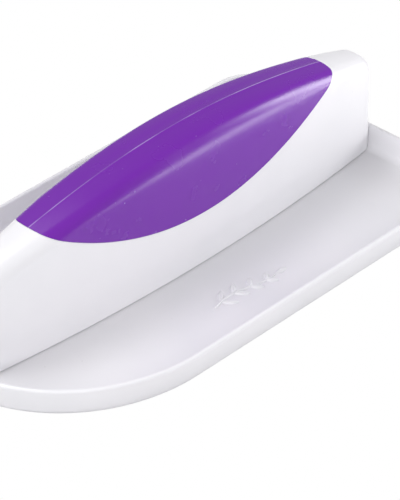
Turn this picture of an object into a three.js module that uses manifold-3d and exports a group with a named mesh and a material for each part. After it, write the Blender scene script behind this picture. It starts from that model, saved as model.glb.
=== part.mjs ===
// Cake smoother: a flat tray-shaped sole with a tall bar handle down its middle.
// Millimetres, +Z up. The origin is at the centre of the whole tool's footprint, on the
// table. +X runs along the handle to the straight end, and the rounded end is at -X.
import * as THREE from 'three';
import { mergeVertices } from 'three/addons/utils/BufferGeometryUtils.js';
import Module from 'manifold-3d';

const wasm = await Module();
wasm.setup();

// ---- driving dimensions ----
const GAP = 0.3;                  // clearance between pieces that touch

const SOLE_LENGTH = 153.5;
const SOLE_WIDTH = 82.5;
const ROUND_END_REACH = 45.7;     // half axis along X of the elliptical end
const STRAIGHT_END_CORNER = 13;   // corner radius at the straight end
const FLOOR_HEIGHT = 3.4;         // top of the tray floor
const RIM_HEIGHT = 9.05;
const LIP_RADIUS = 0.775;         // the rim's top is a half round
const HEEL_RADIUS = 3;            // outside bottom edge
const HEEL_INSET = 1.05;          // how far the wall leans in from lip to heel
const COVE_RADIUS = 2.4;          // inside bottom edge
const COVE_INSET = 2.6;           // inner wall's inset where the cove starts

const HANDLE_OFFSET = 3.65;       // handle's middle along X
const HANDLE_REACH_ROUND = 72.8;  // from the handle's middle to its end over the rounded end
const HANDLE_REACH_STRAIGHT = 71.2;
const RIDGE_HEIGHT = 41.7;        // crown at mid length
const RIDGE_BOW = 0.00228;        // crown falls by bow * x^2 ...
const RIDGE_EASE = 5.7e-8;        // ... less ease * x^4
const FOOT_HALF_WIDTH = 9.77;
const FOOT_TAPER = 0.00087;       // half width falls by taper * x^2
const SIDE_DRAFT = Math.tan(THREE.MathUtils.degToRad(0.5));
const END_DRAFT = Math.tan(THREE.MathUtils.degToRad(1.0));
const CORNER_RADIUS = 3;          // upright corners of the handle, seen from above
const NOSE_RADIUS_ROUND = 9.1;    // top corner over the rounded end, seen from the side
const NOSE_RADIUS_STRAIGHT = 4.4;
const SHOULDER_ACROSS = 3.3;      // the shoulder's rounding reaches this far in over the crown ...
const SHOULDER_DROP = 7.9;        // ... and this far down the side at its deepest ...
const SHOULDER_EASE = 0.0021;     // ... less ease * (x - shift)^2
const SHOULDER_SHIFT = 5.8;
const SHARPEST_ROUNDING = 0.8;    // smallest radius on the body and on its inner walls
const CROWN_RISE = 0.7;           // ridge above the shoulders

const GRIP_LOW_POINT = 18.9;      // lowest point of the grip's edge, above the table
const GRIP_EDGE_BOW = 0.00582;
const GRIP_SHIFT = 1.4;           // the grip's low point is this far past the handle's middle
const SKIN = 2.2;                 // wall of the shell and of the soft grip
const CARRIER_WALL = 2;
const CARRIER_TONGUE = 4;         // the carrier reaches this far down behind the shell
const BARB_X = [-26, 26];         // snap barbs on the carrier, from the handle's middle
const BARB_LENGTH = 5;
const BARB_HEIGHT = 1.4;
const BARB_STICK_OUT = 0.7;

const SCREW_PITCH = 40;
const SEAT_TOP = 11.4;            // webs in the shell that the screws clamp
const SEAT_THICKNESS = 2.2;
const SEAT_LENGTH = 12;
const BOSS_RADIUS = 3.6;
const BORE_DEPTH_LEVEL = 1.9;
const SCREW_RADIUS = 1.5;
const SCREW_HEAD_RADIUS = 2.9;
const SCREW_HEAD_HEIGHT = 2;
const THREAD_DEPTH = 0.35;
const THREAD_PITCH = 1.3;
const THREAD_RUN_OUT = 2.6;       // plain shank under the head
const CROSS_SLOT = 0.8;

const RIB_WALL = 1.4;             // locating rib inside the handle's foot
const RIB_TOP = 6.4;
const RIB_REACH = 62;

const RELIEF_HEIGHT = 0.55;       // raised sprig on the tray floor
const SPRIG_Y = -25.6;
const SPRIG_LENGTH = 26;
const SPRIG_WAVE = 1.1;           // how far the stem sways
const STEM_HALF = 0.3;
const LEAF_PAIRS = 4;
const FIRST_LEAF = 3;             // from the stem's start
const LEAF_PITCH = 5;
const LEAF_LENGTH = 5;
const LEAF_SHRINK = 0.5;          // each pair is this much shorter than the one before
const LEAF_ARCH = 1.7;
const LEAF_ANGLE = 0.75;          // radians off the stem
const TIP_LENGTH = 4.3;
const TIP_ARCH = 1.6;

const OUTLINE_STEPS = 30;         // segments round the elliptical end
const CORNER_STEPS = 5;
const ARC_STEPS = 4;
const SHOULDER_STEPS = 6;

// ---- solids ----
// Closes a stack of rings, each with as many points, with a flat cap on both ends.
function loft(rings) {
  const count = rings[0].length;
  const positions = rings.flat(2);
  const index = [];
  for (let level = 0; level + 1 < rings.length; level += 1) {
    for (let i = 0; i < count; i += 1) {
      const a = level * count + i;
      const b = level * count + ((i + 1) % count);
      index.push(a, b, b + count, a, b + count, a + count);
    }
  }
  const last = (rings.length - 1) * count;
  for (let i = 1; i + 1 < count; i += 1) {
    index.push(0, i + 1, i);
    index.push(last, last + i, last + i + 1);
  }
  const geometry = new THREE.BufferGeometry();
  geometry.setAttribute('position', new THREE.Float32BufferAttribute(positions, 3));
  geometry.setIndex(index);
  return geometry;
}

function solid(geometry) {
  const plain = geometry.clone();
  plain.deleteAttribute('normal');
  plain.deleteAttribute('uv');
  const merged = mergeVertices(plain, 1e-4);
  return new wasm.Manifold(new wasm.Mesh({
    numProp: 3,
    vertProperties: new Float32Array(merged.attributes.position.array),
    triVerts: new Uint32Array(merged.index.array),
  }));
}

function geometryOf(manifold) {
  const mesh = manifold.getMesh();
  const geometry = new THREE.BufferGeometry();
  geometry.setAttribute('position', new THREE.BufferAttribute(mesh.vertProperties, 3));
  geometry.setIndex(new THREE.BufferAttribute(mesh.triVerts, 1));
  geometry.computeVertexNormals();
  return geometry;
}

function block(x, y, z, sizeX, sizeY, sizeZ) {
  return solid(new THREE.BoxGeometry(sizeX, sizeY, sizeZ).translate(x, y, z));
}

function post(x, y, bottom, top, radius) {
  const upright = new THREE.CylinderGeometry(radius, radius, top - bottom, 20);
  return solid(upright.rotateX(Math.PI / 2).translate(x, y, (top + bottom) / 2));
}

// ---- the sole ----
// The sole's outline, moved inwards by an inset, at a height. Anticlockwise from above.
function outline(inset, height) {
  const halfLength = SOLE_LENGTH / 2 - inset;
  const halfWidth = SOLE_WIDTH / 2 - inset;
  const reach = ROUND_END_REACH - inset;
  const corner = STRAIGHT_END_CORNER - inset;
  const ring = [];
  for (const side of [-1, 1]) {
    for (let i = 0; i <= CORNER_STEPS; i += 1) {
      const turn = (i / CORNER_STEPS) * (Math.PI / 2);
      const along = side < 0 ? Math.sin(turn) : Math.cos(turn);
      const across = side < 0 ? Math.cos(turn) : Math.sin(turn);
      ring.push([halfLength - corner + corner * along,
        side * (halfWidth - corner + corner * across), height]);
    }
  }
  for (let i = 0; i <= OUTLINE_STEPS; i += 1) {
    const turn = (i / OUTLINE_STEPS) * Math.PI;
    ring.push([reach - halfLength - reach * Math.sin(turn), halfWidth * Math.cos(turn), height]);
  }
  return ring;
}

// Points [inset, height] on a quarter or half circle in the rim's cross-section.
function arc(inset, height, radius, from, to, steps) {
  const points = [];
  for (let i = 0; i <= steps; i += 1) {
    const turn = from + ((to - from) * i) / steps;
    points.push([inset + radius * Math.cos(turn), height + radius * Math.sin(turn)]);
  }
  return points;
}

// The tray's inner wall from the lip's inner edge down to the floor, moved in by a clearance.
function innerWall(clearance) {
  const coveInset = COVE_INSET + clearance;
  const coveRadius = COVE_RADIUS - clearance;
  const coveHeight = FLOOR_HEIGHT + COVE_RADIUS;
  const cove = arc(coveInset + coveRadius, coveHeight, coveRadius, Math.PI, Math.PI * 1.5, ARC_STEPS);
  return [[LIP_RADIUS * 2 + clearance, RIM_HEIGHT - LIP_RADIUS], ...cove];
}

function tray() {
  const heel = arc(HEEL_INSET + HEEL_RADIUS, HEEL_RADIUS, HEEL_RADIUS, Math.PI * 1.5, Math.PI, ARC_STEPS);
  const lip = arc(LIP_RADIUS, RIM_HEIGHT - LIP_RADIUS, LIP_RADIUS, Math.PI, 0, ARC_STEPS + 2);
  const section = [...heel, ...lip, ...innerWall(0).slice(1)];
  return solid(loft(section.map(([inset, height]) => outline(inset, height))));
}

// The room inside the tray and above it that the handle may fill.
function trayRoom() {
  const wall = innerWall(GAP).reverse();
  const throat = wall[wall.length - 1][0];
  const above = RIM_HEIGHT + GAP;
  const open = -10;
  const section = [...wall, [throat, above], [open, above + 0.1], [open, above + SOLE_WIDTH]];
  return solid(loft(section.map(([inset, height]) => outline(inset, height))));
}

// ---- the raised sprig on the floor ----
function leaf(x, y, angle, length, width) {
  const shape = new THREE.Shape();
  shape.moveTo(0, 0);
  shape.quadraticCurveTo(length / 2, width, length, 0);
  shape.quadraticCurveTo(length / 2, -width, 0, 0);
  const depth = RELIEF_HEIGHT + GAP;
  const raised = new THREE.ExtrudeGeometry(shape, { depth, bevelEnabled: false, curveSegments: 5 });
  return solid(raised.rotateZ(angle).translate(x, y, FLOOR_HEIGHT - GAP));
}

function stemHeight(x) {
  return SPRIG_Y + SPRIG_WAVE * Math.sin((x / SPRIG_LENGTH) * Math.PI * 2);
}

function sprig() {
  const start = HANDLE_OFFSET - SPRIG_LENGTH / 2;
  const tip = SPRIG_LENGTH - TIP_LENGTH;
  const stemSteps = 10;
  const lower = [];
  const upper = [];
  for (let i = 0; i <= stemSteps; i += 1) {
    const along = (i / stemSteps) * (tip + GAP);
    lower.push(new THREE.Vector2(start + along, stemHeight(along) - STEM_HALF));
    upper.unshift(new THREE.Vector2(start + along, stemHeight(along) + STEM_HALF));
  }
  const strip = new THREE.ExtrudeGeometry(new THREE.Shape([...lower, ...upper]),
    { depth: RELIEF_HEIGHT + GAP, bevelEnabled: false });
  let relief = solid(strip.translate(0, 0, FLOOR_HEIGHT - GAP));
  for (let i = 0; i < LEAF_PAIRS; i += 1) {
    const along = FIRST_LEAF + i * LEAF_PITCH;
    for (const side of [-1, 1]) {
      const length = LEAF_LENGTH - LEAF_SHRINK * i;
      relief = relief.add(leaf(start + along, stemHeight(along), side * LEAF_ANGLE, length, LEAF_ARCH));
    }
  }
  return relief.add(leaf(start + tip, stemHeight(tip), 0, TIP_LENGTH, TIP_ARCH));
}

// ---- the handle's body, which the shell, the grip and the carrier share ----
// How far a rounded end of a given radius has turned in at a distance from its start.
function roundOff(x, radiusRound, radiusStraight, reachRound, reachStraight) {
  const radius = x < 0 ? radiusRound : radiusStraight;
  const reach = x < 0 ? reachRound : reachStraight;
  const past = Math.min(Math.max(Math.abs(x) - (reach - radius), 0), radius);
  return radius - Math.sqrt(Math.max(radius * radius - past * past, 0));
}

// How far down the side the shoulder's rounding reaches.
function shoulderDrop(x) {
  return Math.max(SHOULDER_DROP - SHOULDER_EASE * (x - SHOULDER_SHIFT) ** 2, SHOULDER_ACROSS);
}

// One section of the handle, drawn in from its surface by an inset, from bottom up.
// x is the share of the handle's reach, -1 at the rounded end and 1 at the straight end.
function handleSection(share, inset, bottom) {
  const reachRound = HANDLE_REACH_ROUND - inset;
  const reachStraight = HANDLE_REACH_STRAIGHT - inset;
  const reach = share < 0 ? reachRound : reachStraight;
  const x = share * reach;
  const corner = Math.max(CORNER_RADIUS - inset, SHARPEST_ROUNDING);
  const turnIn = roundOff(x, corner, corner, reachRound, reachStraight);
  const turnDown = roundOff(x, NOSE_RADIUS_ROUND - inset, NOSE_RADIUS_STRAIGHT - inset,
    reachRound, reachStraight);
  const foot = FOOT_HALF_WIDTH - FOOT_TAPER * x * x - inset - turnIn;
  const top = RIDGE_HEIGHT - RIDGE_BOW * x * x + RIDGE_EASE * x ** 4 - inset - turnDown;
  const shoulder = top - CROWN_RISE;
  const halfAt = (z) => foot - SIDE_DRAFT * (z - FLOOR_HEIGHT);
  const across = Math.min(Math.max(SHOULDER_ACROSS - inset, SHARPEST_ROUNDING), halfAt(shoulder) * 0.8);
  const down = Math.max(shoulderDrop(x) - inset, SHARPEST_ROUNDING);
  const crownAt = (y) => top - CROWN_RISE * (y / halfAt(shoulder)) ** 2;
  const crownEdge = halfAt(shoulder) - across;
  const half = [[halfAt(bottom), bottom]];
  const low = [halfAt(shoulder - down), shoulder - down];
  const high = [crownEdge, crownAt(crownEdge)];
  const corners = [halfAt(shoulder), shoulder];
  for (let i = 0; i <= SHOULDER_STEPS; i += 1) {
    const turn = (i / SHOULDER_STEPS) * (Math.PI / 2);
    half.push([0, 1].map((k) => low[k] + high[k] - corners[k]
      + (corners[k] - high[k]) * Math.cos(turn) + (corners[k] - low[k]) * Math.sin(turn)));
  }
  for (const y of [crownEdge * 0.66, crownEdge * 0.33]) {
    half.push([y, crownAt(y)]);
  }
  const mirrored = half.map(([y, z]) => [-y, z]).reverse();
  return [...half, [0, top], ...mirrored].map(([y, z]) => {
    const lean = 1 - (END_DRAFT * (z - FLOOR_HEIGHT)) / reach;
    return [HANDLE_OFFSET + x * lean, y, z];
  });
}

function handleBody(inset, bottom, stations) {
  const rings = [];
  for (let i = -stations; i <= stations; i += 1) {
    rings.push(handleSection(Math.sin((i / stations) * (Math.PI / 2)), inset, bottom));
  }
  return solid(loft(rings));
}

// ---- the lens-shaped region that the grip fills ----
function gripEdge(x, drop) {
  return GRIP_LOW_POINT + GRIP_EDGE_BOW * (x - GRIP_SHIFT) ** 2 - drop;
}

function gripRegion(drop) {
  const reach = 66;
  const steps = 24;
  const ceiling = RIDGE_HEIGHT * 2;
  const points = [];
  for (let i = 0; i <= steps; i += 1) {
    const x = reach * ((2 * i) / steps - 1);
    points.push(new THREE.Vector2(HANDLE_OFFSET + x, gripEdge(x, drop)));
  }
  points.push(new THREE.Vector2(HANDLE_OFFSET + reach, ceiling));
  points.push(new THREE.Vector2(HANDLE_OFFSET - reach, ceiling));
  const width = SOLE_WIDTH;
  const wedge = new THREE.ExtrudeGeometry(new THREE.Shape(points), { depth: width, bevelEnabled: false });
  return solid(wedge.rotateX(Math.PI / 2).translate(0, width / 2, 0));
}

// ---- snap barbs on the carrier and their pockets in the shell ----
function barbBlock(x, grow) {
  const z = gripEdge(x, CARRIER_TONGUE / 2);
  const half = FOOT_HALF_WIDTH - FOOT_TAPER * x * x - SIDE_DRAFT * (z - FLOOR_HEIGHT) - SKIN - GAP;
  return block(HANDLE_OFFSET + x, 0, z, BARB_LENGTH + 2 * grow, 2 * (half + BARB_STICK_OUT + grow),
    BARB_HEIGHT + 2 * grow);
}

// ---- screws ----
const screwX = [-SCREW_PITCH, 0, SCREW_PITCH].map((x) => HANDLE_OFFSET + x);

function screwGeometry(x) {
  const headBottom = SEAT_TOP + GAP;
  const tip = BORE_DEPTH_LEVEL + GAP;
  const core = SCREW_RADIUS - THREAD_DEPTH;
  const profile = [new THREE.Vector2(0, tip), new THREE.Vector2(core * 0.6, tip + 0.5)];
  for (let z = tip + 1; z < headBottom - THREAD_RUN_OUT; z += THREAD_PITCH) {
    profile.push(new THREE.Vector2(core, z));
    profile.push(new THREE.Vector2(SCREW_RADIUS, z + THREAD_PITCH / 3));
    profile.push(new THREE.Vector2(core, z + (THREAD_PITCH * 2) / 3));
  }
  profile.push(new THREE.Vector2(core, headBottom));
  profile.push(new THREE.Vector2(SCREW_HEAD_RADIUS, headBottom));
  profile.push(new THREE.Vector2(SCREW_HEAD_RADIUS, headBottom + SCREW_HEAD_HEIGHT * 0.4));
  profile.push(new THREE.Vector2(SCREW_HEAD_RADIUS * 0.7, headBottom + SCREW_HEAD_HEIGHT * 0.85));
  profile.push(new THREE.Vector2(0, headBottom + SCREW_HEAD_HEIGHT));
  const turned = new THREE.LatheGeometry(profile, 14).rotateX(Math.PI / 2).translate(x, 0, 0);
  const across = SCREW_HEAD_RADIUS * 1.1;
  const slotLevel = headBottom + SCREW_HEAD_HEIGHT;
  const cross = block(x, 0, slotLevel, across, CROSS_SLOT, SCREW_HEAD_HEIGHT)
    .add(block(x, 0, slotLevel, CROSS_SLOT, across, SCREW_HEAD_HEIGHT));
  return geometryOf(solid(turned).subtract(cross));
}

// ---- the pieces ----
function solePlate() {
  let sole = tray().add(sprig());
  const ribOuter = handleBody(SKIN + GAP, FLOOR_HEIGHT - GAP, 12);
  const ribInner = handleBody(SKIN + GAP + RIB_WALL, 0, 12);
  const ribLevel = FLOOR_HEIGHT - GAP;
  const ribBand = block(HANDLE_OFFSET, 0, (RIB_TOP + ribLevel) / 2,
    2 * RIB_REACH, SOLE_WIDTH, RIB_TOP - ribLevel);
  sole = sole.add(ribOuter.subtract(ribInner).intersect(ribBand));
  for (const x of screwX) {
    const bossTop = SEAT_TOP - SEAT_THICKNESS - GAP;
    sole = sole.add(post(x, 0, FLOOR_HEIGHT - GAP, bossTop, BOSS_RADIUS));
    sole = sole.subtract(post(x, 0, BORE_DEPTH_LEVEL, bossTop + 1, SCREW_RADIUS + GAP));
  }
  return geometryOf(sole);
}

function handleShell() {
  const foot = FLOOR_HEIGHT + GAP;
  let shell = handleBody(0, foot, 16).subtract(handleBody(SKIN, 0, 12));
  for (const x of screwX) {
    const seat = block(x, 0, SEAT_TOP - SEAT_THICKNESS / 2, SEAT_LENGTH, SOLE_WIDTH, SEAT_THICKNESS);
    shell = shell.add(seat.intersect(handleBody(SKIN / 2, foot, 12)));
    shell = shell.subtract(post(x, 0, FLOOR_HEIGHT, SEAT_TOP + 1, SCREW_RADIUS + GAP));
  }
  for (const x of BARB_X) {
    shell = shell.subtract(barbBlock(x, GAP));
  }
  shell = shell.subtract(gripRegion(GAP / 2)).intersect(trayRoom());
  return geometryOf(shell);
}

function softGrip() {
  const grip = handleBody(0, FLOOR_HEIGHT, 16).intersect(gripRegion(-GAP / 2));
  return geometryOf(grip.subtract(handleBody(SKIN, 0, 12)));
}

function gripCarrier() {
  const outer = SKIN + GAP;
  let carrier = handleBody(outer, FLOOR_HEIGHT, 12).intersect(gripRegion(CARRIER_TONGUE));
  for (const x of BARB_X) {
    carrier = carrier.add(barbBlock(x, 0));
  }
  return geometryOf(carrier.subtract(handleBody(outer + CARRIER_WALL, 0, 10)));
}

function plastic(color, roughness) {
  return new THREE.MeshStandardMaterial({ color, roughness, metalness: 0 });
}

const WHITE = '#e9e8ec';
const smoother = new THREE.Group();

function addPiece(name, geometry, material) {
  const mesh = new THREE.Mesh(geometry, material);
  mesh.name = name;
  smoother.add(mesh);
}

addPiece('sole_plate', solePlate(), plastic(WHITE, 0.32));
addPiece('handle_shell', handleShell(), plastic(WHITE, 0.3));
addPiece('grip_carrier', gripCarrier(), plastic('#d9d6dd', 0.5));
addPiece('soft_grip', softGrip(), plastic('#6b2fa0', 0.55));
['screw_round_end', 'screw_middle', 'screw_straight_end'].forEach((name, i) => {
  const steel = new THREE.MeshStandardMaterial({ color: '#b9bbbe', roughness: 0.35, metalness: 1 });
  addPiece(name, screwGeometry(screwX[i]), steel);
});

export default smoother;
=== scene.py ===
"""The cake smoother's visible pieces, their finishes, the studio and the camera.

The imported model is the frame. Three visible pieces are modelled again with a fine surface:
the tray-shaped sole, the white handle shell and the soft grip. The hidden pieces keep their
own shapes and get a finish. Modelling is done in millimetres and brought to metres at the end.
"""

import logging
import math
from collections.abc import Callable
from dataclasses import dataclass
from enum import Enum

import bmesh
import bpy
from mathutils import Matrix, Vector


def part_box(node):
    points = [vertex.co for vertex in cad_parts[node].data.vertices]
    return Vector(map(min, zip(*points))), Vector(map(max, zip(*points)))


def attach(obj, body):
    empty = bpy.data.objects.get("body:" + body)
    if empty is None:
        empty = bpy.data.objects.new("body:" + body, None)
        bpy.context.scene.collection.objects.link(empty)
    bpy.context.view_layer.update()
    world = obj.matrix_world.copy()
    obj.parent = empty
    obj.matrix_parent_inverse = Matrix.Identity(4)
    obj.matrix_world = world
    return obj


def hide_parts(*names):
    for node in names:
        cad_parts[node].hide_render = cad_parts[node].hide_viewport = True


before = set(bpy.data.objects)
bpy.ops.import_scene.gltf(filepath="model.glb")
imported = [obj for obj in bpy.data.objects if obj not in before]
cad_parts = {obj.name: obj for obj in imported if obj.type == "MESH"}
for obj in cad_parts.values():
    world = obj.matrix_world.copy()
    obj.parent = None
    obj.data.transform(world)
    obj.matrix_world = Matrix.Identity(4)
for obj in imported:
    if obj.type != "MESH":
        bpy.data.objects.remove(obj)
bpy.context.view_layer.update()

MM = 0.001
BODY = "root"

RIM_HEIGHT = 9.05
HANDLE_MIDDLE = 3.65
SCREW_OFFSETS = (-40, 0, 40)

# Millimetres within which two places count as one: when merging, when picking, when slicing.
TOUCH = 0.001
NEAR = 0.01
SLICE_SLACK = 0.00001
# Edges that differ in height by more than this run upwards.
UPRIGHT = 0.1
STRAIGHT = math.radians(0.05)
SHARP = math.radians(30)

log = logging.getLogger("smoother")


class Pick(Enum):
    """What an edit-mode selection is made of."""

    VERTS = "VERT"
    EDGES = "EDGE"
    FACES = "FACE"


class Cut(Enum):
    """How one solid acts on another."""

    JOIN = "UNION"
    TAKE_AWAY = "DIFFERENCE"
    KEEP_SHARED = "INTERSECT"


def middle(part: bmesh.types.BMVert | bmesh.types.BMEdge | bmesh.types.BMFace) -> Vector:
    """Finds the middle of a vertex, an edge or a face.

    Args:
        part: The vertex, edge or face.

    Returns:
        Its middle point.
    """
    if isinstance(part, bmesh.types.BMVert):
        return part.co.copy()
    return sum((vert.co for vert in part.verts), Vector()) / len(part.verts)


@dataclass
class Workpiece:
    """A mesh on the bench, shaped with modelling operators, in millimetres."""

    body: bpy.types.Object

    @staticmethod
    def clear_bench() -> None:
        """Leaves edit mode and deselects everything."""
        if bpy.context.object and bpy.context.object.mode != "OBJECT":
            bpy.ops.object.mode_set(mode="OBJECT")
        bpy.ops.object.select_all(action="DESELECT")

    @classmethod
    def start(cls, name: str, add: Callable[..., set[str]], **settings: object) -> "Workpiece":
        """Adds a primitive at the origin and opens it in edit mode.

        Args:
            name: The piece's name.
            add: The operator that adds the primitive.
            **settings: The operator's settings.

        Returns:
            The new workpiece, in edit mode and selected all over.
        """
        cls.clear_bench()
        add(location=(0, 0, 0), **settings)
        body = bpy.context.object
        body.name = name
        body.data.name = name
        bpy.ops.object.mode_set(mode="EDIT")
        bpy.ops.mesh.select_all(action="SELECT")
        return cls(body)

    @classmethod
    def block(cls, name: str, size: tuple, x: float, bottom: float) -> "Workpiece":
        """Makes a block, still in edit mode.

        Args:
            name: The block's name.
            size: Its length, width and height.
            x: Its middle along the tool.
            bottom: Height of its underside.

        Returns:
            The block.
        """
        block = cls.start(name, bpy.ops.mesh.primitive_cube_add, size=1)
        block.stretch(*size)
        block.move(x=x, z=bottom + size[2] / 2)
        return block

    def pick(self, kind: Pick, wanted: Callable[[object], bool]) -> int:
        """Selects the parts of the mesh that pass a test, and nothing else.

        Args:
            kind: Whether vertices, edges or faces are selected.
            wanted: The test.

        Returns:
            How many parts were selected.
        """
        bpy.ops.mesh.select_mode(type=kind.value)
        bpy.ops.mesh.select_all(action="DESELECT")
        mesh = bmesh.from_edit_mesh(self.body.data)
        parts = {Pick.VERTS: mesh.verts, Pick.EDGES: mesh.edges, Pick.FACES: mesh.faces}[kind]
        chosen = [part for part in parts if wanted(part)]
        for part in chosen:
            part.select_set(True)
        mesh.select_flush_mode()
        bmesh.update_edit_mesh(self.body.data)
        return len(chosen)

    def pick_all(self) -> None:
        """Selects the whole mesh."""
        bpy.ops.mesh.select_mode(type=Pick.VERTS.value)
        bpy.ops.mesh.select_all(action="SELECT")

    def move(self, x: float = 0, y: float = 0, z: float = 0) -> None:
        """Moves what is selected.

        Args:
            x: Distance along X.
            y: Distance along Y.
            z: Distance along Z.
        """
        bpy.ops.transform.translate(value=(x, y, z))

    def stretch(self, x: float = 1, y: float = 1, z: float = 1, about: tuple = (0, 0, 0)) -> None:
        """Scales what is selected.

        Args:
            x: Factor along X.
            y: Factor along Y.
            z: Factor along Z.
            about: The point that stays where it is.
        """
        bpy.ops.transform.resize(value=(x, y, z), center_override=about)

    def turn(self, angle: float, axis: str) -> None:
        """Turns what is selected about an axis through the origin.

        Args:
            angle: The angle in radians.
            axis: "X", "Y" or "Z".
        """
        bpy.ops.transform.rotate(value=angle, orient_axis=axis, center_override=(0, 0, 0))

    def slice(self, point: tuple, normal: tuple, clear: bool = False) -> None:
        """Cuts the whole mesh along a plane.

        Args:
            point: A point on the plane.
            normal: The plane's normal.
            clear: Whether what lies on the normal's side is removed.
        """
        self.pick_all()
        bpy.ops.mesh.bisect(plane_co=point, plane_no=normal, clear_outer=clear, threshold=SLICE_SLACK)

    def round_edges(self, width: float, segments: int, wanted: Callable[[object], bool]) -> None:
        """Rounds the edges that pass a test.

        Args:
            width: How far the rounding reaches along the faces.
            segments: Facets across the rounding.
            wanted: The test.
        """
        count = self.pick(Pick.EDGES, wanted)
        log.debug("%s: %d edges rounded by %.2f mm", self.body.name, count, width)
        bpy.ops.mesh.bevel(offset=width, segments=segments, profile=0.5, affect="EDGES",
                           clamp_overlap=False, loop_slide=True)

    def close(self) -> "Workpiece":
        """Merges doubles, turns the faces outwards and leaves edit mode.

        Returns:
            The workpiece itself.
        """
        self.pick_all()
        bpy.ops.mesh.remove_doubles(threshold=TOUCH)
        bpy.ops.mesh.normals_make_consistent(inside=False)
        bpy.ops.object.mode_set(mode="OBJECT")
        return self

    def combine(self, other: "Workpiece", how: Cut) -> None:
        """Joins or cuts this solid with another one, which is used up.

        Args:
            other: The other solid.
            how: What is done with it.
        """
        self.clear_bench()
        bpy.context.view_layer.objects.active = self.body
        modifier = self.body.modifiers.new(how.name.lower(), "BOOLEAN")
        modifier.operation = how.value
        modifier.solver = "EXACT"
        modifier.object = other.body
        bpy.ops.object.modifier_apply(modifier=modifier.name)
        bpy.data.objects.remove(other.body)

    def twin(self, name: str) -> "Workpiece":
        """Copies the workpiece with a mesh of its own.

        Args:
            name: The copy's name.

        Returns:
            The copy.
        """
        body = self.body.copy()
        body.data = self.body.data.copy()
        body.name = name
        bpy.context.scene.collection.objects.link(body)
        return Workpiece(body)

    def to_metres(self, smooth_below: float = 32) -> bpy.types.Object:
        """Scales the mesh to metres, smooths its shading and leaves the object untransformed.

        Args:
            smooth_below: Edges that turn by fewer degrees than this are shaded smooth.

        Returns:
            The finished object.
        """
        self.clear_bench()
        self.body.select_set(True)
        bpy.context.view_layer.objects.active = self.body
        self.body.scale = (MM, MM, MM)
        bpy.ops.object.transform_apply(location=True, rotation=True, scale=True)
        bpy.ops.object.shade_smooth_by_angle(angle=math.radians(smooth_below))
        self.body.select_set(False)
        return self.body


@dataclass
class Sprig:
    """A small raised sprig: a swaying stem, pairs of leaves that shrink along it, and a tip leaf."""

    start: tuple
    floor: float
    length: float = 26.0
    sway: float = 1.1
    stem_radius: float = 0.36
    relief: float = 0.55
    pairs: int = 4
    first_leaf: float = 3.0
    leaf_pitch: float = 5.0
    leaf_length: float = 5.0
    leaf_shrink: float = 0.5
    leaf_half_width: float = 0.85
    leaf_angle: float = 0.75
    tip_length: float = 4.3
    rings: int = 14
    leaf_segments: int = 20
    rib_share: float = 0.72
    stem_sides: int = 16
    stem_steps: int = 24
    stem_taper: float = 0.35
    stem_height_share: float = 0.9

    def sway_at(self, along: float) -> float:
        """Gives the stem's sideways place.

        Args:
            along: Distance from the stem's start.

        Returns:
            How far it has swayed.
        """
        return self.sway * math.sin(along / self.length * 2 * math.pi)

    def make_leaf(self) -> Workpiece:
        """Shapes one leaf of unit length from its base: pointed, domed, with a sunken midrib.

        Returns:
            The leaf.
        """
        leaf = Workpiece.start("leaf", bpy.ops.mesh.primitive_uv_sphere_add, segments=self.leaf_segments,
                               ring_count=self.rings, radius=1)
        leaf.turn(math.pi / 2, "Y")
        for ring in range(1, self.rings):
            x = math.cos(math.pi * ring / self.rings)
            leaf.pick(Pick.VERTS, lambda v, x=x: abs(v.co.x - x) < TOUCH)
            leaf.stretch(y=math.sqrt(1 - x * x), z=math.sqrt(math.sqrt(1 - x * x)))
        leaf.pick(Pick.VERTS, lambda v: abs(v.co.y) < TOUCH and v.co.z > 0.1)
        leaf.stretch(z=self.rib_share)
        leaf.pick_all()
        leaf.move(x=1)
        leaf.stretch(x=0.5, y=self.leaf_half_width, z=self.relief)
        return leaf.close()

    def make_stem(self) -> Workpiece:
        """Shapes the swaying, tapering stem.

        Returns:
            The stem.
        """
        reach = self.length - self.tip_length
        stem = Workpiece.start("stem", bpy.ops.mesh.primitive_cylinder_add, vertices=self.stem_sides,
                               radius=self.stem_radius, depth=reach)
        stem.turn(math.pi / 2, "Y")
        stem.move(x=reach / 2)
        stations = [reach * i / self.stem_steps for i in range(self.stem_steps + 1)]
        for along in stations[1:-1]:
            stem.slice((along, 0, 0), (1, 0, 0))
        for along in stations:
            stem.pick(Pick.VERTS, lambda v, along=along: abs(v.co.x - along) < NEAR)
            thin = 1 - self.stem_taper * along / reach
            stem.stretch(y=thin, z=thin * self.relief / self.stem_radius * self.stem_height_share)
            stem.move(y=self.sway_at(along))
        return stem.close()

    def raise_on(self, tray: Workpiece) -> None:
        """Joins the stem and the leaves to the tray.

        Args:
            tray: The tray, out of edit mode.
        """
        places = []
        for i in range(self.pairs):
            along = self.first_leaf + i * self.leaf_pitch
            length = self.leaf_length - i * self.leaf_shrink
            places += [(along, -self.leaf_angle, length), (along, self.leaf_angle, length)]
        places.append((self.length - self.tip_length, 0.0, self.tip_length))
        leaf = self.make_leaf()
        parts = [self.make_stem()]
        for along, angle, length in places:
            part = leaf.twin("sprig_leaf")
            place = Matrix.Translation((along, self.sway_at(along), 0))
            turn = Matrix.Rotation(angle, 4, "Z")
            part.body.data.transform(place @ turn @ Matrix.Diagonal((length, 1, 1, 1)))
            parts.append(part)
        bpy.data.objects.remove(leaf.body)
        for part in parts:
            part.body.data.transform(Matrix.Translation((*self.start, self.floor)))
            tray.combine(part, Cut.JOIN)


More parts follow.
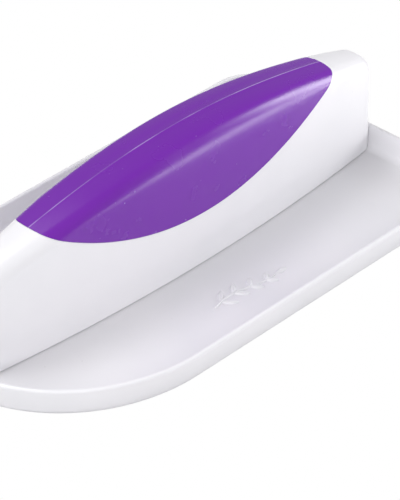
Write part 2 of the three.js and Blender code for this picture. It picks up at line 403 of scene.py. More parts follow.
@dataclass
class Fixings:
    """What the hidden screws need: bosses with bores on the tray, and seats across the shell."""

    places: tuple
    boss_radius: float = 3.6
    boss_top: float = 8.9
    bore_radius: float = 1.8
    bore_level: float = 1.9
    seat_top: float = 11.4
    seat_thickness: float = 2.2
    seat_length: float = 12.0
    boss_root: float = 0.5
    bore_past: float = 2.0
    post_sides: int = 48
    post_round: float = 0.2
    post_steps: int = 3

    def post(self, name: str, x: float, bottom: float, top: float, radius: float) -> Workpiece:
        """Makes an upright post with rounded rims.

        Args:
            name: The post's name.
            x: Its place along the tool.
            bottom: Height of its foot.
            top: Height of its top.
            radius: Its radius.

        Returns:
            The post.
        """
        post = Workpiece.start(name, bpy.ops.mesh.primitive_cylinder_add, vertices=self.post_sides,
                               radius=radius, depth=top - bottom)
        post.round_edges(self.post_round, self.post_steps,
                         lambda edge: abs(edge.verts[0].co.z - edge.verts[1].co.z) < TOUCH)
        post.pick_all()
        post.move(x=x, z=(top + bottom) / 2)
        return post.close()

    def raise_bosses(self, tray: Workpiece, floor: float) -> None:
        """Joins the bosses to the tray and bores them.

        Args:
            tray: The tray, out of edit mode.
            floor: Height of its floor.
        """
        for x in self.places:
            boss = self.post("boss", x, floor - self.boss_root, self.boss_top, self.boss_radius)
            tray.combine(boss, Cut.JOIN)
            bore = self.post("bore", x, self.bore_level, self.seat_top, self.bore_radius)
            tray.combine(bore, Cut.TAKE_AWAY)

    def fit_seats(self, shell: Workpiece, form: "HandleBody", bite: float) -> None:
        """Joins the seats to the shell's inner walls and bores them.

        Args:
            shell: The shell, out of edit mode.
            form: The handle's outer form.
            bite: How far inside the outer form the seats end, within the wall.
        """
        for x in self.places:
            size = (self.seat_length, 2 * (form.half_width - bite / 2), self.seat_thickness)
            seat = Workpiece.block("seat", size, x, self.seat_top - self.seat_thickness).close()
            seat.combine(form.solid("seat_reach", bite, 1), Cut.KEEP_SHARED)
            shell.combine(seat, Cut.JOIN)
            top = self.seat_top + self.bore_past
            bore = self.post("seat_bore", x, self.bore_level, top, self.bore_radius)
            shell.combine(bore, Cut.TAKE_AWAY)


@dataclass
class SolePlate:
    """The tray: a flat sole with a leaning wall, a round lip and a cove down to its floor."""

    length: float
    width: float
    rim_height: float
    floor_height: float = 3.4
    round_end_reach: float = 45.7
    straight_end_corner: float = 13.0
    foot_inset: float = 1.65
    lip_flare: float = 0.155
    lip_thickness: float = 1.376
    floor_corner_inset: float = 3.62
    heel_width: float = 2.46
    cove_width: float = 1.59
    lip_outer_width: float = 0.885
    lip_inner_width: float = 0.48
    lip_split: float = 0.3
    support: float = 0.5
    outline_points: int = 256
    corner_steps: int = 24
    heel_steps: int = 12
    cove_steps: int = 10
    lip_steps: int = 8
    sprig_sink: float = 0.02
    sprig_start: float = -9.35
    sprig_row: float = -25.6

    def slab(self, name: str, bottom: float, top: float, inset_bottom: float, inset_top: float) -> Workpiece:
        """Makes a slab with the sole's outline: half an ellipse, then straight to rounded corners.

        Args:
            name: The slab's name.
            bottom: Height of its underside.
            top: Height of its top.
            inset_bottom: How far its underside's edge lies inside the outline.
            inset_top: The same for its top.

        Returns:
            The slab, in edit mode.
        """
        half = self.width / 2
        axis = self.round_end_reach - self.length / 2
        piece = Workpiece.start(name, bpy.ops.mesh.primitive_circle_add, vertices=self.outline_points,
                                radius=half, fill_type="NGON")
        piece.stretch(x=self.round_end_reach / half)
        piece.move(x=axis)
        piece.slice((axis, 0, 0), (1, 0, 0), clear=True)
        piece.pick(Pick.EDGES, lambda edge: all(abs(v.co.x - axis) < TOUCH for v in edge.verts))
        straight = self.length - self.round_end_reach
        bpy.ops.mesh.extrude_region_move(TRANSFORM_OT_translate={"value": (straight, 0, 0)})
        piece.pick_all()
        bpy.ops.mesh.remove_doubles(threshold=TOUCH)
        bpy.ops.mesh.dissolve_limited(angle_limit=STRAIGHT)
        piece.pick_all()
        bpy.ops.mesh.extrude_region_move(TRANSFORM_OT_translate={"value": (0, 0, top - bottom)})
        piece.pick_all()
        bpy.ops.mesh.normals_make_consistent(inside=False)
        piece.round_edges(self.straight_end_corner, self.corner_steps, lambda edge: all(
            v.co.x > self.length / 2 - NEAR and abs(v.co.y) > half - NEAR for v in edge.verts)
            and abs(edge.verts[0].co.z - edge.verts[1].co.z) > UPRIGHT)
        height = top - bottom
        for level, inset in ((0, inset_bottom), (height, inset_top)):
            piece.pick(Pick.VERTS, lambda v, level=level: abs(v.co.z - level) < TOUCH)
            piece.stretch(x=1 - 2 * inset / self.length, y=1 - inset / half)
        piece.pick_all()
        piece.move(z=bottom)
        return piece

    def build(self, fixings: Fixings, rib: Workpiece) -> bpy.types.Object:
        """Shapes the tray, its raised sprig, and the bosses and rib that the handle hides.

        Args:
            fixings: The bosses and where they stand.
            rib: The rib that locates the handle.

        Returns:
            The finished sole.
        """
        rim = self.rim_height
        piece = self.slab("sole_tray", 0, rim, self.foot_inset, -self.lip_flare)
        piece.pick(Pick.FACES, lambda face: middle(face).z > rim - NEAR)
        bpy.ops.mesh.inset(thickness=self.lip_thickness, use_even_offset=True)
        drop = rim - self.floor_height
        slope = self.floor_corner_inset + self.lip_flare - self.lip_thickness
        bpy.ops.mesh.inset(thickness=slope, depth=-drop, use_even_offset=True)
        self.round_loop(piece, 0, self.heel_width, self.heel_steps, lambda inset: True)
        self.round_loop(piece, self.floor_height, self.cove_width, self.cove_steps, lambda inset: True)
        self.round_loop(piece, rim, self.lip_outer_width, self.lip_steps,
                        lambda inset: inset < self.lip_split)
        self.round_loop(piece, rim, self.lip_inner_width, self.lip_steps,
                        lambda inset: inset > self.lip_split)
        for level in (0.0, self.floor_height):
            piece.pick(Pick.FACES, lambda face, level=level: abs(middle(face).z - level) < TOUCH
                       and face.calc_area() > self.width)
            bpy.ops.mesh.inset(thickness=self.support, use_even_offset=True)
        piece.close()
        sprig_foot = self.floor_height - self.sprig_sink
        Sprig(start=(self.sprig_start, self.sprig_row), floor=sprig_foot).raise_on(piece)
        piece.combine(rib, Cut.JOIN)
        fixings.raise_bosses(piece, self.floor_height)
        return piece.to_metres()

    def round_loop(self, piece: Workpiece, level: float, width: float, segments: int,
                   at_inset: Callable[[float], bool]) -> None:
        """Rounds the closed loops of sharp edges at one height.

        Args:
            piece: The tray.
            level: The height.
            width: How far the rounding reaches.
            segments: Facets across the rounding.
            at_inset: Which loops, told by how far they lie inside the sole's outline.
        """
        piece.round_edges(width, segments, lambda edge: all(abs(v.co.z - level) < TOUCH for v in edge.verts)
                          and edge.calc_face_angle(0) > SHARP
                          and at_inset(self.inset_of(middle(edge))))

    def inset_of(self, point: Vector) -> float:
        """Estimates how far a point lies inside the outline, from the nearer of its sides.

        Args:
            point: The point.

        Returns:
            The distance to the long sides or the straight end, or along the ellipse's own measure.
        """
        half = self.width / 2
        axis = self.round_end_reach - self.length / 2
        if point.x < axis:
            share = math.hypot((point.x - axis) / self.round_end_reach, point.y / half)
            return (1 - share) * half
        corner = self.straight_end_corner
        along = point.x - (self.length / 2 - corner)
        across = abs(point.y) - (half - corner)
        if along > 0 and across > 0:
            return corner - math.hypot(along, across)
        return min(self.length / 2 - point.x, half - abs(point.y))


@dataclass
class HandleBody:
    """The handle's outer form: a bar, boat-shaped from above and arched from the side."""

    middle_x: float
    foot: float
    crown: float
    reach_round: float = 72.8
    reach_straight: float = 71.2
    ridge_bow: float = 0.00228
    ridge_ease: float = 5.7e-8
    half_width: float = 9.77
    taper: float = 0.00087
    side_draft: float = math.tan(math.radians(0.5))
    end_draft: float = math.tan(math.radians(1.0))
    edge_round: float = 3.3
    shoulder_drop: float = 7.9
    shoulder_ease: float = 0.0021
    shoulder_shift: float = 5.8
    sharpest: float = 0.8
    nose_round_end: float = 9.1
    nose_straight_end: float = 4.4
    crown_rise: float = 0.7
    crown_share: float = 0.25
    spacing: float = 2.0
    nose_steps: int = 14
    shoulder_steps: int = 12
    nose_margin: float = 1.0
    nose_clear_of_foot: float = 10.0
    nose_least_width: float = 0.3
    shoulder_level: float = 0.5
    shoulder_slack: float = 0.15

    def half_at(self, x: float) -> float:
        """Gives the foot's half width at a distance from the handle's middle.

        Args:
            x: Distance along the handle.

        Returns:
            Half the width of the foot there.
        """
        return self.half_width - self.taper * x * x

    def fall_at(self, x: float) -> float:
        """Gives how far the ridge has fallen at a distance from the handle's middle.

        Args:
            x: Distance along the handle.

        Returns:
            The fall from the highest point.
        """
        return self.ridge_bow * x * x - self.ridge_ease * x**4

    def solid(self, name: str, inset: float, bottom: float) -> Workpiece:
        """Shapes the bar, drawn in all over by an inset.

        Args:
            name: The solid's name.
            inset: How far its surface lies inside the outer one.
            bottom: Height of its flat underside.

        Returns:
            The closed solid.
        """
        height = self.crown - inset - bottom
        start = inset - self.reach_round
        end = self.reach_straight - inset
        piece = Workpiece.block(name, (end - start, 2, height), (start + end) / 2, bottom)
        for share in (-self.crown_share, 0, self.crown_share):
            piece.slice((0, share, 0), (0, 1, 0))
        margin = self.nose_round_end + self.nose_margin
        steps = round((end - start - 2 * margin) / self.spacing)
        stations = [start + margin + (end - start - 2 * margin) * i / steps for i in range(steps + 1)]
        for x in stations:
            piece.slice((x, 0, 0), (1, 0, 0))
        top = bottom + height
        for share in (self.crown_share, 1):
            piece.pick(Pick.VERTS, lambda v, share=share: v.co.z > top - NEAR
                       and abs(abs(v.co.y) - share) < NEAR)
            piece.move(z=-self.crown_rise * share**2)
        for x in [start, *stations, end]:
            self.shape_station(piece, x, inset, bottom, top)
        for x, sign in ((start, 1), (end, -1)):
            piece.pick(Pick.VERTS, lambda v, x=x: abs(v.co.x - x) < NEAR and v.co.z > bottom + 1)
            piece.move(x=sign * self.end_draft * (height - self.fall_at(x)))
        for x, radius in ((start, self.nose_round_end - inset), (end, self.nose_straight_end - inset)):
            piece.round_edges(self.nose_width(x, radius), self.nose_steps, lambda edge, x=x: all(
                abs(v.co.x - x) < 1 and v.co.z > bottom + self.nose_clear_of_foot for v in edge.verts)
                and abs(edge.verts[0].co.y - edge.verts[1].co.y) > self.nose_least_width)
        across = max(self.edge_round - inset, self.sharpest)
        piece.round_edges(across, self.shoulder_steps, self.on_side_outline(bottom))
        for x in stations:
            self.deepen_shoulder(piece, x, inset, across, top - self.fall_at(x))
        piece.pick_all()
        piece.move(x=self.middle_x)
        return piece.close()

    def nose_width(self, x: float, radius: float) -> float:
        """Gives how far a nose's rounding reaches along the crown.

        Args:
            x: Where the end is, from the handle's middle.
            radius: The rounding's radius.

        Returns:
            The width that gives that radius between the sloping crown and the end.
        """
        slope = math.atan(2 * self.ridge_bow * abs(x) - 4 * self.ridge_ease * abs(x) ** 3)
        return radius / math.tan((math.pi / 2 + slope) / 2)

    def shape_station(self, piece: Workpiece, x: float, inset: float, bottom: float, top: float) -> None:
        """Gives one station of the bar its width, its draft and its height.

        Args:
            piece: The bar.
            x: The station's distance along the handle.
            inset: How far the bar is drawn in.
            bottom: Height of its underside.
            top: Height of its ridge at mid length.
        """
        fall = self.fall_at(x)
        foot_half = self.half_at(x) - inset - self.side_draft * (bottom - self.foot)
        top_half = self.half_at(x) - inset - self.side_draft * (top - fall - self.foot)
        piece.pick(Pick.VERTS, lambda v: abs(v.co.x - x) < NEAR and v.co.z < bottom + NEAR)
        piece.stretch(y=foot_half)
        piece.pick(Pick.VERTS, lambda v: abs(v.co.x - x) < NEAR and v.co.z > bottom + NEAR)
        piece.stretch(y=top_half)
        piece.move(z=-fall)

    def deepen_shoulder(self, piece: Workpiece, x: float, inset: float, across: float, ridge: float) -> None:
        """Draws the shoulder's rounding down the side at one station.

        Args:
            piece: The bar.
            x: The station's distance along the handle.
            inset: How far the bar is drawn in.
            across: How far in over the crown the rounding reaches.
            ridge: Height of the ridge there.
        """
        drop = self.shoulder_drop - self.shoulder_ease * (x - self.shoulder_shift) ** 2
        down = max(drop, self.edge_round) - inset
        if down <= across:
            return
        level = ridge - self.crown_rise * self.shoulder_level
        inner = self.half_at(x) - inset - self.side_draft * (ridge - self.foot) - across
        lowest = ridge - self.crown_rise - across - self.shoulder_slack
        piece.pick(Pick.VERTS, lambda v: abs(v.co.x - x) < 0.05 and abs(v.co.y) > inner + 0.02
                   and lowest < v.co.z < level)
        piece.stretch(z=down / across, about=(0, 0, level))

    @staticmethod
    def on_side_outline(bottom: float) -> Callable[[object], bool]:
        """Makes the test for the edges round each side face, apart from those at the foot.

        Args:
            bottom: Height of the bar's underside.

        Returns:
            The test.
        """

        def wanted(edge: bmesh.types.BMEdge) -> bool:
            """Says whether an edge parts a side face from the crown or an end.

            Args:
                edge: The edge.

            Returns:
                True if it does.
            """
            if all(v.co.z < bottom + NEAR for v in edge.verts) or len(edge.link_faces) != 2:
                return False
            sideways = [abs(face.normal.y) > 0.9 for face in edge.link_faces]
            return sideways[0] != sideways[1]

        return wanted


@dataclass
class Handle:
    """The white shell and the soft grip, cut from one body so that they meet flush."""

    form: HandleBody
    tray: SolePlate
    skin: float = 2.2
    seam: float = 0.3
    joint_gap: float = 0.08
    grip_low_point: float = 18.9
    grip_edge_bow: float = 0.00582
    grip_shift: float = 1.4
    grip_reach: float = 66.0
    parting_rise: float = 0.09
    parting_half_width: float = 0.26
    rib_wall: float = 1.4
    rib_top: float = 6.4
    rib_reach: float = 62.0
    outer_bottom: float = 2.0
    hollow_bottom: float = 1.0

    def lens(self, name: str, drop: float) -> Workpiece:
        """Makes the block above the grip's bowed edge.

        Args:
            name: The block's name.
            drop: How far the edge is lowered.

        Returns:
            The closed block.
        """
        top = 2 * self.form.crown
        reach = self.grip_reach
        piece = Workpiece.block(name, (2 * reach, self.tray.width, top), 0, 0)
        stations = [float(x) for x in range(-int(reach), int(reach) + 1)]
        for x in stations[1:-1]:
            piece.slice((x, 0, 0), (1, 0, 0))
        for x in stations:
            piece.pick(Pick.VERTS, lambda v, x=x: abs(v.co.x - x) < NEAR and v.co.z < top / 2)
            piece.move(z=self.grip_low_point + self.grip_edge_bow * (x - self.grip_shift) ** 2 - drop)
        piece.pick_all()
        piece.move(x=self.form.middle_x)
        return piece.close()

    def tray_room(self) -> Workpiece:
        """Makes the room over the tray's floor, drawn in from its inner wall by the seam.

        Returns:
            The closed room.
        """
        tray = self.tray
        bottom = tray.floor_height + self.seam
        top = 2 * self.form.crown
        inner_lip = tray.lip_thickness - tray.lip_flare
        slope = (tray.floor_corner_inset - inner_lip) / (tray.rim_height - tray.floor_height)
        low_inset = tray.floor_corner_inset - slope * self.seam + self.seam
        piece = tray.slab("tray_room", bottom, top, low_inset, low_inset - slope * (top - bottom))
        piece.round_edges(tray.cove_width, tray.cove_steps,
                          lambda edge: all(abs(v.co.z - bottom) < TOUCH for v in edge.verts))
        return piece.close()

    def make_rib(self) -> Workpiece:
        """Makes the rib that stands on the tray just inside the shell.

        Returns:
            The rib, as two long walls.
        """
        rib = self.form.solid("rib", self.skin + self.seam, self.tray.floor_height - self.seam)
        size = (2 * self.rib_reach, self.tray.width, self.rib_top)
        rib.combine(Workpiece.block("rib_band", size, self.form.middle_x, 0).close(), Cut.KEEP_SHARED)
        rib.combine(self.form.solid("rib_core", self.skin + self.seam + self.rib_wall, self.hollow_bottom),
                    Cut.TAKE_AWAY)
        return rib

    def build_shell(self, fixings: Fixings) -> bpy.types.Object:
        """Cuts the white shell from the handle's body.

        Args:
            fixings: The seats that the screws clamp.

        Returns:
            The finished shell.
        """
        shell = self.form.solid("handle_body", 0, self.outer_bottom)
        shell.combine(self.tray_room(), Cut.KEEP_SHARED)
        shell.combine(self.lens("grip_opening", self.joint_gap / 2), Cut.TAKE_AWAY)
        shell.combine(self.form.solid("hollow", self.skin, self.hollow_bottom), Cut.TAKE_AWAY)
        fixings.fit_seats(shell, self.form, self.skin / 2)
        return shell.to_metres()

    def build_grip(self) -> bpy.types.Object:
        """Cuts the soft grip from the handle's body and raises its parting line.

        Returns:
            The finished grip.
        """
        grip = self.form.solid("grip", 0, self.outer_bottom)
        grip.combine(self.lens("grip_region", -self.joint_gap / 2), Cut.KEEP_SHARED)
        self.raise_parting_line(grip)
        grip.combine(self.form.solid("grip_hollow", self.skin, self.hollow_bottom), Cut.TAKE_AWAY)
        return grip.to_metres()

    def raise_parting_line(self, grip: Workpiece) -> None:
        """Raises a fine ridge along the middle of the crown, where the mould's halves met.

        Args:
            grip: The grip, still solid.
        """
        grip.clear_bench()
        grip.body.select_set(True)
        bpy.context.view_layer.objects.active = grip.body
        bpy.ops.object.mode_set(mode="EDIT")
        for y in (-self.parting_half_width, self.parting_half_width):
            grip.slice((0, y, 0), (0, 1, 0))
        grip.slice((0, 0, 0), (0, 1, 0))
        grip.pick(Pick.VERTS, lambda v: abs(v.co.y) < TOUCH and v.normal.z > 0.4)
        grip.move(z=self.parting_rise)
        grip.close()


class Signal:
    """A number that flows between nodes. Arithmetic on it adds Math nodes."""

    def __init__(self, bench: "NodeBench", socket: bpy.types.NodeSocket) -> None:
        """Keeps the socket and the bench that adds nodes."""
        self.bench = bench
        self.socket = socket

    def math(self, operation: str, *values: object) -> "Signal":
        """Adds a Math node.

        Args:
            operation: The Math node's operation.
            *values: Its inputs, as numbers or signals.

        Returns:
            The node's result.
        """
        return self.bench.node("ShaderNodeMath", {"operation": operation}, dict(enumerate(values)))

    def __add__(self, other: object) -> "Signal":
        """Adds."""
        return self.math("ADD", self, other)

    __radd__ = __add__

    def __sub__(self, other: object) -> "Signal":
        """Subtracts."""
        return self.math("SUBTRACT", self, other)

    def __rsub__(self, other: object) -> "Signal":
        """Subtracts this signal from a number."""
        return self.math("SUBTRACT", other, self)

    def __mul__(self, other: object) -> "Signal":
        """Multiplies."""
        return self.math("MULTIPLY", self, other)

    __rmul__ = __mul__

    def step(self, low: float, high: float) -> "Signal":
        """Rises smoothly from 0 to 1 between two levels.

        Args:
            low: Where the rise starts.
            high: Where it ends, which may be below low.

        Returns:
            The smoothed step.
        """
        return self.bench.node("ShaderNodeMapRange", {"interpolation_type": "SMOOTHSTEP"},
                               {"Value": self, "From Min": low, "From Max": high})


class NodeBench:
    """A material being wired, with the pattern sources that the finishes share."""

    def __init__(self, name: str) -> None:
        """Starts a material with a Principled shader.

        Args:
            name: The material's name.
        """
        self.material = bpy.data.materials.new(name)
        self.material.use_nodes = True
        self.tree = self.material.node_tree
        self.shader = self.tree.nodes["Principled BSDF"]
        self.place = self.node("ShaderNodeTexCoord", {}, {}, "Object")

    def node(self, kind: str, settings: dict, inputs: dict, output: int | str = 0) -> Signal:
        """Adds any node.

        Args:
            kind: The node's type.
            settings: Its own settings.
            inputs: Values or signals for its sockets, by name or number.
            output: The output that is wanted.

        Returns:
            That output.
        """
        node = self.tree.nodes.new(kind)
        for key, value in settings.items():
            setattr(node, key, value)
        for key, value in inputs.items():
            self.feed(node.inputs[key], value)
        return Signal(self, node.outputs[output])

    def feed(self, socket: bpy.types.NodeSocket, value: object) -> None:
        """Links a signal to a socket, or sets the socket's own value.

        Args:
            socket: The socket.
            value: The signal, number, vector or colour.
        """
        if isinstance(value, Signal):
            self.tree.links.new(value.socket, socket)
        else:
            socket.default_value = value

    def place_at(self, shift: float, scale: tuple) -> Signal:
        """Scales and shifts the places that a pattern is read at.

        Args:
            shift: The offset along each axis.
            scale: Repeats per metre along X, Y and Z.

        Returns:
            The places.
        """
        return self.node("ShaderNodeMapping", {}, {
            "Vector": self.place, "Location": (shift, shift, shift), "Scale": scale})

    def noise(self, size: float, detail: float = 2, stretch: tuple = (1, 1, 1),
              shift: float = 0) -> Signal:
        """Adds cloudy noise over the piece.

        Args:
            size: The size of its patches, in metres.
            detail: How many finer layers it has.
            stretch: How much longer the patches are along X, Y and Z.
            shift: An offset that makes one noise unlike another.

        Returns:
            The noise, from about 0.3 to 0.7.
        """
        scale = tuple(1 / (size * part) for part in stretch)
        where = self.place_at(shift, scale)
        return self.node("ShaderNodeTexNoise", {}, {"Vector": where, "Scale": 1.0, "Detail": detail})

    def specks(self, spacing: float, radius: float, share: float, shift: float = 0) -> Signal:
        """Adds scattered round specks.

        Args:
            spacing: The average distance between possible specks, in metres.
            radius: A speck's radius, as a share of the spacing.
            share: The share of possible specks that show.
            shift: An offset that makes one scatter unlike another.

        Returns:
            1 inside a speck, 0 elsewhere.
        """
        where = self.place_at(shift, (1 / spacing,) * 3)
        cells = {"Vector": where, "Scale": 1.0}
        near = self.node("ShaderNodeTexVoronoi", {}, cells, "Distance")
        colour = self.node("ShaderNodeTexVoronoi", {}, cells, "Color")
        lot = self.node("ShaderNodeSeparateColor", {}, {"Color": colour}, "Red")
        return near.step(radius, radius * 0.6) * lot.step(share, share * 0.9)

    def blend(self, share: Signal, first: tuple | Signal, second: tuple | Signal) -> Signal:
        """Mixes two colours.

        Args:
            share: How much of the second colour.
            first: The first colour.
            second: The second colour.

        Returns:
            The mixed colour.
        """
        return self.node("ShaderNodeMix", {"data_type": "RGBA"}, {0: share, 6: first, 7: second}, 2)

    def bump(self, height: Signal, depth: float) -> Signal:
        """Turns a height pattern into a surface normal.

        Args:
            height: The pattern.
            depth: The height of a rise of 1, in metres.

        Returns:
            The normal.
        """
        inputs = {"Height": height, "Distance": depth, "Strength": 1.0}
        return self.node("ShaderNodeBump", {}, inputs, "Normal")

    def finish(self, colour: Signal, roughness: Signal, normal: Signal,
               **fixed: object) -> bpy.types.Material:
        """Wires what varies and sets what doesn't.

        Args:
            colour: The base colour.
            roughness: The roughness.
            normal: The surface normal.
            **fixed: Other sockets of the shader and their values, with _ for a space.

        Returns:
            The material.
        """
        self.feed(self.shader.inputs["Base Color"], colour)
        self.feed(self.shader.inputs["Roughness"], roughness)
        self.feed(self.shader.inputs["Normal"], normal)
        for key, value in fixed.items():
            self.feed(self.shader.inputs[key.replace("_", " ")], value)
        return self.material


@dataclass(frozen=True)
class MouldedPlastic:
    """A hard moulded plastic: slight clouding, fine specks, orange peel and faint rubbing."""

    name: str
    colour: tuple
    cloud: tuple
    speck: tuple
    roughness: float
    cloud_size: float = 0.035
    peel_size: float = 0.0016
    peel_depth: float = 0.000004
    grain_size: float = 0.00022
    grain_depth: float = 0.0000012
    speck_strength: float = 0.5
    haze_strength: float = 0.10
    rub_strength: float = 0.012

    def make(self) -> bpy.types.Material:
        """Wires the material.

        Returns:
            The material.
        """
        bench = NodeBench(self.name)
        cloud = bench.noise(self.cloud_size, 3).step(0.35, 0.65)
        colour = bench.blend(cloud, self.colour, self.cloud)
        colour = bench.blend(bench.specks(0.004, 0.045, 0.16) * self.speck_strength, colour, self.speck)
        rub = bench.noise(0.0012, 3, stretch=(9, 1, 1), shift=3.1).step(0.60, 0.80)
        haze = bench.noise(0.012, 4, shift=7.7)
        roughness = self.roughness + haze * self.haze_strength - self.haze_strength / 2
        roughness = roughness + rub * self.rub_strength
        height = bench.noise(self.peel_size, 1) * (self.peel_depth / self.grain_depth) + bench.noise(
            self.grain_size, 2)
        return bench.finish(colour, roughness, bench.bump(height, self.grain_depth))


@dataclass(frozen=True)
class SoftTouch:
    """A smooth soft-touch skin: slight clouding, fine grain, pale dust and a paler parting line."""

    name: str
    colour: tuple
    cloud: tuple
    dust: tuple
    roughness: float
    specular: float = 0.55
    parting_half: float = 0.00014
    grain_size: float = 0.00030
    grain_depth: float = 0.000004
    dust_strength: float = 0.55
    dust_roughness: float = 0.2
    haze_strength: float = 0.12

    def make(self) -> bpy.types.Material:
        """Wires the material.

        Returns:
            The material.
        """
        bench = NodeBench(self.name)
        colour = bench.blend(bench.noise(0.02, 2, stretch=(2, 1, 1)), self.colour, self.cloud)
        across = bench.node("ShaderNodeSeparateXYZ", {}, {0: bench.place}, "Y")
        parting = across.math("ABSOLUTE", across).step(self.parting_half * 1.6, self.parting_half * 0.6)
        worn = bench.noise(0.012, 3, shift=9.1).step(0.35, 0.65) * 0.35 + 0.12
        colour = bench.blend(parting * worn, colour, self.dust)
        dust = bench.specks(0.0035, 0.05, 0.2) + bench.specks(0.0019, 0.05, 0.08, shift=4.2)
        colour = bench.blend(dust * self.dust_strength, colour, self.dust)
        haze = bench.noise(0.008, 4, shift=2.2)
        roughness = self.roughness + haze * self.haze_strength - self.haze_strength / 2
        roughness = roughness + dust * self.dust_roughness
        height = bench.noise(self.grain_size, 2) + bench.noise(0.0014, 2, shift=5.5) * 1.4
        return bench.finish(colour, roughness, bench.bump(height, self.grain_depth),
                            Specular_IOR_Level=self.specular)


@dataclass(frozen=True)
class PlatedSteel:
    """Zinc-plated steel: cool grey with turning marks and a faint yellow bloom."""

    name: str
    colour: tuple
    bloom: tuple
    roughness: float

    def make(self) -> bpy.types.Material:
        """Wires the material.

        Returns:
            The material.
        """
        bench = NodeBench(self.name)
        colour = bench.blend(bench.noise(0.002, 3).step(0.45, 0.7), self.colour, self.bloom)
        marks = bench.noise(0.0006, 3, stretch=(4, 4, 0.3), shift=1.7)
        roughness = self.roughness + marks * 0.2 - 0.1
        return bench.finish(colour, roughness, bench.bump(marks, 0.000006), Metallic=1.0)


WHITE = MouldedPlastic("white_plastic", colour=(0.735, 0.725, 0.755, 1), cloud=(0.705, 0.70, 0.73, 1),
                       speck=(0.45, 0.43, 0.45, 1), roughness=0.30)
CARRIER = MouldedPlastic("carrier_plastic", colour=(0.68, 0.66, 0.70, 1), cloud=(0.62, 0.60, 0.64, 1),
                         speck=(0.4, 0.4, 0.4, 1), roughness=0.5)
PURPLE = SoftTouch("soft_purple", colour=(0.15, 0.013, 0.34, 1), cloud=(0.13, 0.010, 0.315, 1),
                   dust=(0.55, 0.45, 0.75, 1), roughness=0.26)
STEEL = PlatedSteel("screw_steel", colour=(0.62, 0.63, 0.66, 1), bloom=(0.66, 0.62, 0.50, 1),
                    roughness=0.32)


@dataclass(frozen=True)
class Panel:
    """A soft panel that hangs round the tool, in degrees and metres, and faces it."""

    name: str
    azimuth: float
    elevation: float
    distance: float
    size: tuple
    radiance: float


PANELS = (
    Panel("overhead_panel", 122, 61, 0.9, (0.7, 0.5), 5.8),
    Panel("front_panel", -135, 28, 1.2, (0.8, 0.8), 4.1),
    Panel("right_panel", -27, 11, 0.6, (0.24, 0.20), 11.5),
)


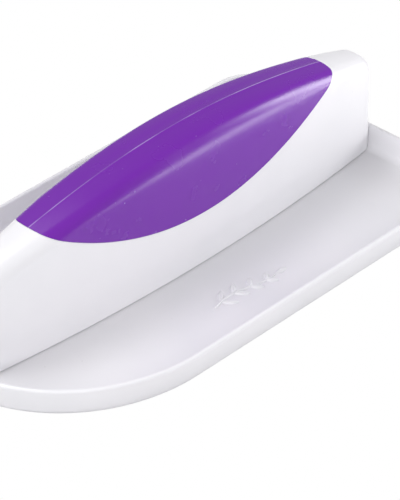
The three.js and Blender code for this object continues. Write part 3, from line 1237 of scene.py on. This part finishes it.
@dataclass
class Studio:
    """A pale floor, an even surround, soft lights and the camera."""

    azimuth: float = -136.934
    elevation: float = 35.118
    roll: float = 0.344
    distance: float = 0.85571
    aim: tuple = (0.0086467, -0.0035968, 0.0016983)
    lens: float = 237.49
    sensor: float = 36.0
    floor_size: float = 8.0
    floor_drop: float = 0.0002
    surround: float = 0.36
    glow_place: tuple = (0.295, -0.230, 0.0003)
    glow_size: tuple = (0.41, 0.21)
    glow_radiance: float = 5.5

    def add_camera(self) -> None:
        """Places the camera on a line from the aim point and makes it the scene's camera."""
        around = math.radians(self.azimuth)
        tilt = math.radians(self.roll)
        back = self.direction(self.azimuth, self.elevation)
        level = Vector((-math.sin(around), math.cos(around), 0))
        rise = back.cross(level)
        right = level * math.cos(tilt) + rise * math.sin(tilt)
        up = back.cross(right)
        data = bpy.data.cameras.new("camera")
        data.lens = self.lens
        data.sensor_width = self.sensor
        data.clip_start = 0.05
        camera = bpy.data.objects.new("camera", data)
        place = Matrix.Translation(Vector(self.aim) + back * self.distance)
        camera.matrix_world = place @ Matrix((right, up, back)).transposed().to_4x4()
        bpy.context.scene.collection.objects.link(camera)
        bpy.context.scene.camera = camera

    def add_floor(self) -> None:
        """Lays the floor, which shows as even white and lights the tool as a pale surface does."""
        Workpiece.clear_bench()
        bpy.ops.mesh.primitive_plane_add(size=self.floor_size, location=(0, 0, -self.floor_drop))
        floor = bpy.context.object
        floor.name = "floor"
        bench = NodeBench("floor_white")
        tone = bench.noise(0.4, 3).step(0.2, 0.8)
        colour = bench.blend(tone, (0.82, 0.82, 0.82, 1), (0.80, 0.80, 0.805, 1))
        bench.finish(colour, bench.noise(0.05, 3) * 0.1 + 0.2, bench.bump(bench.noise(0.002, 2), 0.00001))
        seen = bench.node("ShaderNodeLightPath", {}, {}, "Is Camera Ray")
        glow = bench.node("ShaderNodeEmission", {}, {"Color": (1, 1, 1, 1), "Strength": 1.0})
        surface = Signal(bench, bench.shader.outputs[0])
        mixed = bench.node("ShaderNodeMixShader", {}, {0: seen, 1: surface, 2: glow})
        bench.feed(bench.tree.nodes["Material Output"].inputs["Surface"], mixed)
        floor.data.materials.append(bench.material)

    @staticmethod
    def direction(azimuth: float, elevation: float) -> Vector:
        """Gives a direction from the tool.

        Args:
            azimuth: Degrees from +X towards +Y.
            elevation: Degrees above the floor.

        Returns:
            The unit vector.
        """
        turn, lift = math.radians(azimuth), math.radians(elevation)
        return Vector((math.cos(lift) * math.cos(turn), math.cos(lift) * math.sin(turn), math.sin(lift)))

    def add_panel(self, name: str, place: Vector, facing: Vector, size: tuple, radiance: float) -> None:
        """Hangs a soft glowing panel.

        Args:
            name: The light's name.
            place: Where its middle is.
            facing: The direction that it shines in.
            size: Its width and height.
            radiance: How bright its face is.
        """
        data = bpy.data.lights.new(name, "AREA")
        data.shape = "RECTANGLE"
        data.size, data.size_y = size
        data.energy = math.pi * size[0] * size[1] * radiance
        light = bpy.data.objects.new(name, data)
        light.location = place
        light.rotation_euler = (-facing).to_track_quat("Z", "Y").to_euler()
        light.visible_camera = False
        bpy.context.scene.collection.objects.link(light)

    def build(self) -> None:
        """Sets up the whole studio."""
        scene = bpy.context.scene
        scene.view_settings.view_transform = "Standard"
        world = bpy.data.worlds.new("surround")
        world.use_nodes = True
        world.node_tree.nodes["Background"].inputs["Color"].default_value = (1, 1, 1, 1)
        world.node_tree.nodes["Background"].inputs["Strength"].default_value = self.surround
        scene.world = world
        self.add_floor()
        for panel in PANELS:
            away = self.direction(panel.azimuth, panel.elevation)
            self.add_panel(panel.name, away * panel.distance, -away, panel.size, panel.radiance)
        self.add_panel("table_glow", Vector(self.glow_place), Vector((0, 0, 1)), self.glow_size,
                       self.glow_radiance)
        self.add_camera()


def dress(piece: bpy.types.Object, finish: object, slot: str, *nodes: str) -> None:
    """Gives a new piece its material and its place in the frame, and hides the nodes that it stands for.

    Args:
        piece: The piece.
        finish: The finish that makes its material.
        slot: Not used.
        *nodes: The nodes that it replaces.
    """
    piece.data.materials.clear()
    piece.data.materials.append(finish.make())
    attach(piece, BODY)
    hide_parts(*nodes)
    log.info("%s: %d faces, stands for %s", piece.name, len(piece.data.polygons), ", ".join(nodes))


def finish_node(name: str, finish: object) -> None:
    """Gives a node that keeps its own shape a better material.

    Args:
        name: The node.
        finish: The finish that makes its material.
    """
    material = bpy.data.materials.get(finish.name) or finish.make()
    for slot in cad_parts[name].material_slots:
        slot.material = material
    log.info("%s: keeps its shape, finished as %s", name, finish.name)


def main() -> None:
    """Builds every piece, dresses it and sets the studio."""
    logging.basicConfig(level=logging.INFO, format="%(name)s: %(message)s")
    low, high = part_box("sole_plate")
    tray = SolePlate(length=(high.x - low.x) / MM, width=(high.y - low.y) / MM, rim_height=RIM_HEIGHT)
    grip_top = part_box("soft_grip")[1].z / MM
    handle = Handle(HandleBody(middle_x=HANDLE_MIDDLE, foot=tray.floor_height, crown=grip_top), tray)
    fixings = Fixings(places=tuple(HANDLE_MIDDLE + offset for offset in SCREW_OFFSETS))
    dress(tray.build(fixings, handle.make_rib()), WHITE, "white_plastic", "sole_plate")
    dress(handle.build_shell(fixings), WHITE, "white_plastic", "handle_shell")
    dress(handle.build_grip(), PURPLE, "soft_purple", "soft_grip")
    finish_node("grip_carrier", CARRIER)
    for screw in ("screw_round_end", "screw_middle", "screw_straight_end"):
        finish_node(screw, STEEL)
    Studio().build()


if __name__ == "__main__":
    main()
